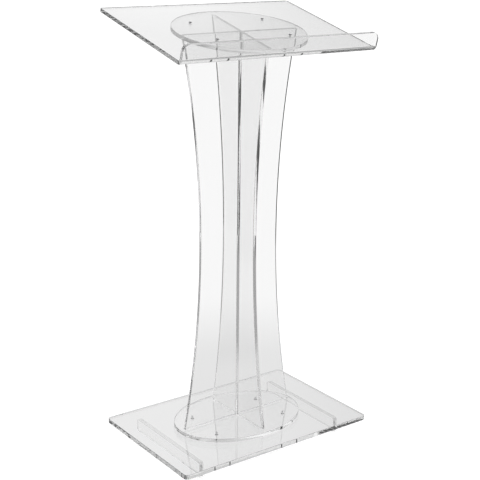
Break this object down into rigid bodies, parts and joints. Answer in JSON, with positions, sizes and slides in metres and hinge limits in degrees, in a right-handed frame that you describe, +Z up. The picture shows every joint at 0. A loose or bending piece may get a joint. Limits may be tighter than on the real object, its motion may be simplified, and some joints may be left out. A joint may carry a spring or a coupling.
{
  "type": "presentation lectern",
  "caption": "Free-standing clear acrylic lectern with a tilted reading plate, a bent-up paper lip, a cross-shaped hollowed stem and a flat base on two strips.",
  "frame": {"origin": "on the floor, under the middle of the base plate, which is the middle of the bounding box's bottom face", "axes": "+Z up; +Y towards the audience, so the reader and the paper lip are on the -Y side; +X is on the reader's right"},
  "size_m": [0.6096, 0.4064, 1.1775],
  "materials": {
    "acrylic": "polished",
    "screw_steel": "satin"
  },
  "bodies": {
    "root": {"base_plate": "acrylic", "base_rail_left": "acrylic", "base_rail_right": "acrylic", "lower_oval_plate": "acrylic", "wide_stem_panel": "acrylic", "deep_stem_panel": "acrylic", "upper_oval_plate": "acrylic", "reading_plate": "acrylic", "base_screw_rear_left": "screw_steel", "base_screw_rear_right": "screw_steel", "base_screw_front_left": "screw_steel", "base_screw_front_right": "screw_steel", "reading_screw_rear_left": "screw_steel", "reading_screw_rear_right": "screw_steel", "reading_screw_front_left": "screw_steel", "reading_screw_front_right": "screw_steel"}
  },
  "joints": []
}
